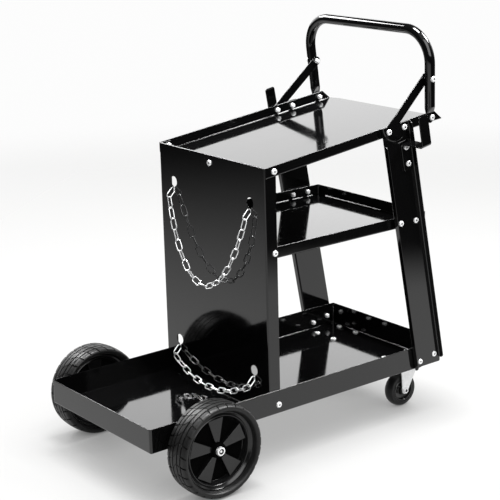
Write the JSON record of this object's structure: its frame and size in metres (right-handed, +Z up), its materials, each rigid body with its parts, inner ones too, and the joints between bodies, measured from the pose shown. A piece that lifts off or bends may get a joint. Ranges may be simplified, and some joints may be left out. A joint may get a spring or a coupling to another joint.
{
  "type": "welding cart",
  "caption": "Black sheet-metal welding cart with a bottle bay, shelf, sloped top tray, push handle, cable hooks, bottle chains, fixed wheels and swivel casters.",
  "frame": {"origin": "on the floor, under the middle of the base tray", "axes": "+Z up, +X from the bottle bay to the push handle, +Y to the right-hand wheels"},
  "size_m": [0.72, 0.4612, 0.7893],
  "materials": {
    "paint": "gloss black powder coat",
    "zinc": "bright zinc plate",
    "steel": "plain turned steel",
    "tyre": "matt black rubber",
    "caster_tyre": "satin black rubber",
    "plastic": "satin black moulding"
  },
  "bodies": {
    "cart": {"base_tray": "paint", "bottle_panel": "paint", "middle_shelf": "paint", "top_tray": "paint", "handle_tube": "paint", "axle": "zinc", "upright_left": "paint", "upright_right": "paint", "brace_left": "paint", "brace_right": "paint", "cable_hook_left": "paint", "cable_hook_right": "paint", "axle_nut_left": "zinc", "axle_nut_right": "zinc", "axle_spacer_left": "zinc", "axle_spacer_right": "zinc", "axle_bracket_left": "paint", "axle_bracket_right": "paint", "caster_plate_left": "zinc", "caster_plate_right": "zinc", "caster_king_pin_left": "zinc", "caster_king_pin_right": "zinc", "panel_top_bolt_left": "zinc", "panel_top_bolt_right": "zinc", "panel_shelf_bolt_left": "zinc", "panel_shelf_bolt_right": "zinc", "panel_base_bolt_left": "zinc", "panel_base_bolt_right": "zinc", "upright_top_bolt_1_left": "zinc", "upright_top_bolt_1_right": "zinc", "upright_top_bolt_2_left": "zinc", "upright_top_bolt_2_right": "zinc", "upright_shelf_bolt_1_left": "zinc", "upright_shelf_bolt_1_right": "zinc", "upright_shelf_bolt_2_left": "zinc", "upright_shelf_bolt_2_right": "zinc", "upright_foot_bolt_1_left": "zinc", "upright_foot_bolt_1_right": "zinc", "upright_foot_bolt_2_left": "zinc", "upright_foot_bolt_2_right": "zinc", "upper_chain_anchor_left": "zinc", "upper_chain_anchor_right": "zinc", "lower_chain_anchor_left": "zinc", "lower_chain_anchor_right": "zinc"},
    "wheel_left": {"wheel_tyre_left": "tyre", "wheel_rim_left": "plastic", "wheel_bush_left": "steel"},
    "caster_left": {"caster_fork_left": "zinc", "caster_axle_left": "zinc"},
    "caster_wheel_left": {"caster_tyre_left": "caster_tyre", "caster_core_left": "plastic"},
    "wheel_right": {"wheel_tyre_right": "tyre", "wheel_rim_right": "plastic", "wheel_bush_right": "steel"},
    "caster_right": {"caster_fork_right": "zinc", "caster_axle_right": "zinc"},
    "caster_wheel_right": {"caster_tyre_right": "caster_tyre", "caster_core_right": "plastic"},
    "upper_chain": {"upper_chain": "zinc"},
    "lower_chain": {"lower_chain": "zinc"}
  },
  "joints": [
    {"name": "wheel_left_spin", "type": "hinge", "parent": "cart", "child": "wheel_left", "pos_m": [-0.245, -0.2007, 0.089], "axis": [0, 1, 0], "continuous": true},
    {"name": "caster_left_swivel", "type": "hinge", "parent": "cart", "child": "caster_left", "pos_m": [0.315, -0.106, 0.09], "axis": [0, 0, 1], "continuous": true},
    {"name": "caster_wheel_left_spin", "type": "hinge", "parent": "caster_left", "child": "caster_wheel_left", "pos_m": [0.3025, -0.106, 0.0355], "axis": [0, 1, 0], "continuous": true},
    {"name": "wheel_right_spin", "type": "hinge", "parent": "cart", "child": "wheel_right", "pos_m": [-0.245, 0.2007, 0.089], "axis": [0, 1, 0], "continuous": true},
    {"name": "caster_right_swivel", "type": "hinge", "parent": "cart", "child": "caster_right", "pos_m": [0.315, 0.106, 0.09], "axis": [0, 0, 1], "continuous": true},
    {"name": "caster_wheel_right_spin", "type": "hinge", "parent": "caster_right", "child": "caster_wheel_right", "pos_m": [0.3025, 0.106, 0.0355], "axis": [0, 1, 0], "continuous": true},
    {"name": "upper_chain_swing", "type": "hinge", "parent": "cart", "child": "upper_chain", "pos_m": [-0.10069, 0, 0.47587], "axis": [0, 1, 0], "range_deg": [0, 84]},
    {"name": "lower_chain_swing", "type": "hinge", "parent": "cart", "child": "lower_chain", "pos_m": [-0.10069, 0, 0.15137], "axis": [0, 1, 0], "range_deg": [0, 79]}
  ]
}
